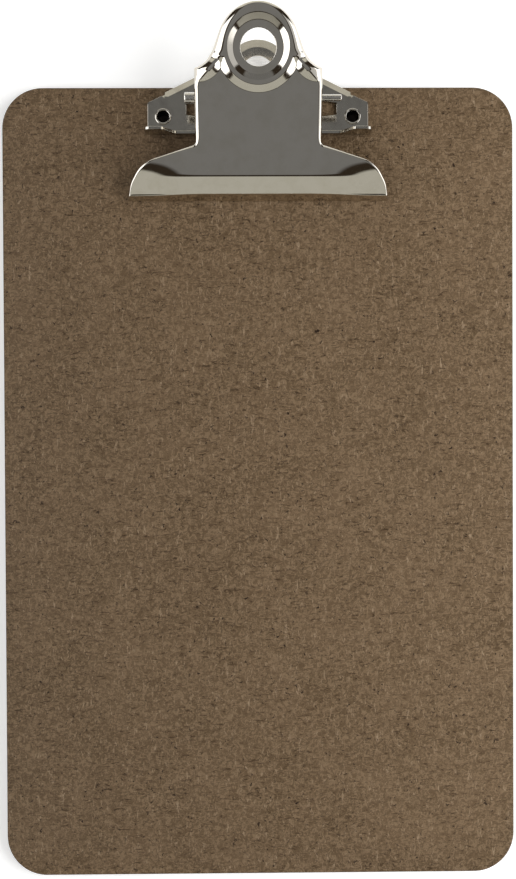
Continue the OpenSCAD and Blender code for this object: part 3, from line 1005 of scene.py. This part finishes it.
def make_base_plate():
    """The riveted sheet. Its turned-down edge never sinks into the board under it."""
    wing_w = WING_HALF_W - CUT_EDGE_R
    stop_x = np.linspace(-wing_w, wing_w, 61)
    ear_half_w = EAR_HALF_W - CUT_EDGE_R
    ear_y = np.linspace(PIVOT[1] - ear_half_w, PIVOT[1] + ear_half_w, 13)
    flat, faces = fill(base_outline(stop_x), base_holes(ear_y), base_scatter())
    plate = (with_last(flat, base_height(*flat.T)), faces, base_normals(*flat.T))
    patches = [plate, *stop_patches(stop_x), *ear_patches(-1, ear_y), *ear_patches(1, ear_y)]
    points, faces, normals = thickened(joined(patches), SHEET_T)
    on_board = (points[:, 1] < TOP_Y) & (points[:, 2] < FRONT_Z)
    points[on_board, 2] = FRONT_Z
    solid = (points, faces, normals)
    base = make_object("base_plate_sheet", solid, METAL["base_plate_nickel"], "base")
    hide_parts("base_plate")


# ---- Rivets, pin and springs ----

def quarter(centre, r, start, end, steps=6):
    return [tuple(p) for p in arc(centre, r, start, end, steps)]


def make_rivets():
    """Semi-tubular rivets: a flat head behind, a rolled-over mouth in front, and painted shade deep
    in the bore.
    """
    low, high = node_box("rivet_left")
    head_r = (high[0] - low[0]) / 2
    head_round = 0.3
    shank_r = 2.1
    bore_r = 1.65
    mouth_r = 2.4
    roll = 0.32
    floor_z = 1.0
    top = high[2]
    profile = [(0, 0)]
    profile += quarter((head_r - head_round, head_round), head_round, -90, 0)
    profile += [(head_r, RIVET_HEAD_T), (shank_r, RIVET_HEAD_T), (shank_r, PLATE_Z),
                (mouth_r - roll, PLATE_Z + 0.01)]
    profile += quarter((mouth_r - roll, top - roll), roll, -70, 120, 12)
    profile += [(bore_r + 0.22, top - 0.10), (bore_r + 0.05, top - 0.35), (bore_r, top - 0.8),
                (bore_r, floor_z + 0.5), (bore_r * 0.75, floor_z + 0.12), (bore_r * 0.3, floor_z),
                (0, floor_z)]
    points, faces, smooth = lathe(profile)
    for name, place in zip(("rivet_left", "rivet_right"), RIVETS):
        solid = (points + [place[0], place[1], 0], faces, smooth)
        rivet = make_object(name + "_turned", solid, METAL["rivet_nickel"], "base")
        # Faces deep inside the bore get the near-black material: painted shade standing in for the
        # recess's shadow.
        rivet.data.materials.append(METAL["rivet_bore_steel"])
        for face in rivet.data.polygons:
            centre = in_mm(face.center)
            in_painted_shade = floor_z * 0.9 < centre[2] < top - 0.28
            face.material_index = int(in_painted_shade and np.hypot(*(centre - place)[:2]) < bore_r + 0.02)
        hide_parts(name)


def make_pin():
    """The hinge pin: a headed rod whose other end is rounded off."""
    head_r = (pin_high[2] - pin_low[2]) / 2
    head_l = 3.2
    head_round = 0.5
    neck_round = 0.12
    end_round = 0.45
    length = pin_high[0] - pin_low[0]
    profile = [(0, 0)]
    profile += quarter((head_r - head_round, head_round), head_round, -90, 0)
    profile += quarter((head_r - neck_round, head_l - neck_round), neck_round, 0, 90, 3)
    profile += [(PIN_R, head_l)]
    profile += quarter((PIN_R - end_round, length - end_round), end_round, 0, 90)
    profile += [(0, length)]
    points, faces, smooth = lathe(profile, 48)
    points = points[:, [2, 0, 1]] + [pin_low[0], PIVOT[1], PIVOT[2]]
    pin = make_object("hinge_pin", (points, faces, smooth), METAL["pin_steel"], "base")
    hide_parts("pivot_pin")


def spring_path():
    """The right spring's middle line round the pivot: foot, four turns and a bit, and tip."""
    wire_r = 0.6
    coil_r = 2.6
    pitch = 1.3
    turns = 4
    gap = 0.05
    spring_x = 13.0
    foot = np.array([7.3, PLATE_Z + wire_r + gap - PIVOT[2]])
    reach = 8.1
    under_plate = RING[2] - (RING[1] - PIVOT[1] - reach) * math.tan(SLOPE)
    tip = np.array([reach, under_plate - (SHEET_T + wire_r + gap) / math.cos(SLOPE) - PIVOT[2]])

    def leg_angle(p, side):
        return math.atan2(p[1], p[0]) + side * math.acos(coil_r / np.hypot(*p))

    start = leg_angle(foot, -1)
    sweep = start - leg_angle(tip, 1) + 2 * math.pi * (turns + 1)
    length = pitch * sweep / (2 * math.pi)
    x0 = spring_x + length / 2
    steps = 150
    path = []
    on_coil = coil_r * np.array([math.cos(start), math.sin(start)])
    for t in np.linspace(0, 1, 12, endpoint=False):
        path.append((x0, *(foot + t * (on_coil - foot))))
    for i in range(steps + 1):
        a = start - sweep * i / steps
        path.append((x0 - length * i / steps, coil_r * math.cos(a), coil_r * math.sin(a)))
    last = np.array(path[-1])
    for t in np.linspace(0, 1, 13)[1:]:
        path.append(tuple(last + t * (np.array([x0 - length, *tip]) - last)))
    return np.array(path), wire_r, x0, x0 - length


def wire_mesh(path, r, sides=14):
    """A round wire with softened ends along a path."""
    tangent = unit(np.gradient(path, axis=0))
    u = unit(np.cross(tangent, [1.0, 0, 0]))
    v = np.cross(tangent, u)
    angles = np.linspace(0, 2 * math.pi, sides + 1)[None, :, None]
    grid = path[:, None] + r * (np.cos(angles) * u[:, None] + np.sin(angles) * v[:, None])
    ends = []
    for index, way in ((0, -1), (-1, 1)):
        for inset, reach in ((0.75, 0.12), (0.0, 0.16)):
            ring = path[index] + (grid[index] - path[index]) * inset + way * reach * tangent[index]
            ends.append(ring)
    grid = np.concatenate([[ends[1], ends[0]], grid, [ends[2], ends[3]]])
    centres = np.concatenate([path[:1], path[:1], path, path[-1:], path[-1:]])
    return grid_patch(grid, grid - centres[:, None])


def make_springs():
    path, wire_r, outer_x, inner_x = spring_path()
    right = wire_mesh(path + [0, PIVOT[1], PIVOT[2]], wire_r)
    for side, name in ((1, "spring_right"), (-1, "spring_left")):
        points, faces, _ = joined([right if side > 0 else mirrored(right)])
        spring = make_object(name + "_wire", (points, faces, 50), METAL["spring_steel"], None)
        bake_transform(spring)
        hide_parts(name)


# ---- Studio ----

GREY = 0.218
WHITE = 2.4
DARK = (0.035, 0.026, 0.018)
TAN = (0.524, 0.518, 0.466)
WARM = (0.74, 0.72, 0.64)

# Each side of the sky: the radiance, a grey level or a colour, at angles from overhead in degrees.
SKY_SIDES = {
    "front": [(0, GREY), (40, GREY * 0.92), (47, DARK), (62, DARK), (67, TAN), (90, TAN)],
    "back": [(0, GREY), (46, GREY * 0.8), (51, WARM), (90, WARM)],
    "left": [(0, GREY), (22, GREY), (27, DARK), (36, DARK), (41, WHITE), (90, WHITE)],
    "right": [(0, GREY), (28, GREY), (31, DARK), (37, DARK), (41, 0.6), (62, 0.7), (68, WHITE),
              (90, WHITE)],
    "gap": [(0, GREY), (24, GREY), (34, DARK), (90, DARK)],
}


def sky_band(g, angle, stops):
    """The radiance of one side of the sky, over WHITE, joined up linearly between its stops."""
    curve = g.nodes.new("ShaderNodeValToRGB")
    curve.color_ramp.interpolation = "LINEAR"
    elements = curve.color_ramp.elements
    while len(elements) < len(stops):
        elements.new(0.5)
    for element, (degrees, radiance) in zip(elements, stops):
        element.position = degrees / 90
        element.color = (*(np.ones(3) * radiance / WHITE), 1)
    g.put(curve.inputs["Fac"], angle)
    return curve.outputs["Color"]


def make_sky():
    """A studio of soft cards: grey overhead, white at both sides, warm ones in front and behind,
    with dark gaps between them. The view itself sees plain white surroundings."""
    world = bpy.data.worlds.new("studio")
    bpy.context.scene.world = world
    g = Graph(world)
    g.nodes.clear()
    direction = g.add("TexCoord", {}, "Generated")
    parts = g.nodes.new("ShaderNodeSeparateXYZ")
    g.put(parts.inputs[0], direction)
    x, y, z = parts.outputs
    from_top = g.maths("MULTIPLY", g.maths("ARCCOSINE", z), 2 / math.pi)
    bearing = g.maths("MULTIPLY", g.maths("ARCTAN2", x, g.maths("MULTIPLY", y, -1.0)), 180 / math.pi)
    turned = g.maths("ABSOLUTE", bearing)

    # From the front round to the back: a card, a gap, a side card, a gap and a card.
    side = {name: sky_band(g, from_top, stops) for name, stops in SKY_SIDES.items()}
    sky = g.mix(g.remap(turned, (40, 43)), side["front"], side["gap"])
    sky = g.mix(g.remap(turned, (48, 51)), sky,
                g.mix(g.remap(bearing, (-1, 1)), side["left"], side["right"]))
    sky = g.mix(g.remap(turned, (118, 122)), sky, side["gap"])
    sky = g.mix(g.remap(turned, (142, 147)), sky, side["back"])

    lit = g.add("Background", {"Color": sky, "Strength": WHITE})
    seen = g.add("Background", {"Color": (1, 1, 1), "Strength": 1.0})
    in_view = g.add("LightPath", {}, "Is Camera Ray")
    output = g.nodes.new("ShaderNodeOutputWorld")
    g.put(output.inputs["Surface"], g.add("MixShader", {0: in_view, 1: lit, 2: seen}))


def make_floor():
    """A pale floor, large enough to fill the view, that fades into the white surroundings."""
    rings = [(1500 * t ** 2, 0) for t in np.linspace(1, 0, 25)]
    floor = make_object("floor", lathe(rings, 96), white_floor("pale_floor"), None)
    floor.location.z = -0.02 * MM


def make_side_light():
    """A soft light from the right, low over the board."""
    light = bpy.data.lights.new("side_light", "AREA")
    light.shape = "RECTANGLE"
    light.size = 0.35
    light.size_y = 0.5
    light.energy = 2.5
    lamp = bpy.data.objects.new("side_light", light)
    lamp.location = (0.42, 0.0, 0.30)
    lamp.rotation_euler = Euler((0, math.radians(55), 0))
    lamp.visible_glossy = False
    bpy.context.scene.collection.objects.link(lamp)


def make_camera():
    """The camera looks straight down on the board from a hand's reach."""
    camera = bpy.data.cameras.new("camera")
    camera.sensor_width = 36
    camera.lens = 40.63
    camera.clip_start = 0.01
    viewer = bpy.data.objects.new("camera", camera)
    viewer.location = (-0.0034, 0.0162, 0.2994)
    viewer.rotation_euler = Euler([math.radians(a) for a in (-0.66, -0.58, -0.27)])
    bpy.context.scene.collection.objects.link(viewer)
    bpy.context.scene.camera = viewer


make_board()
make_base_plate()
make_lever()
make_rivets()
make_pin()
make_springs()
make_sky()
make_floor()
make_side_light()
make_camera()
bpy.context.scene.view_settings.view_transform = "Standard"
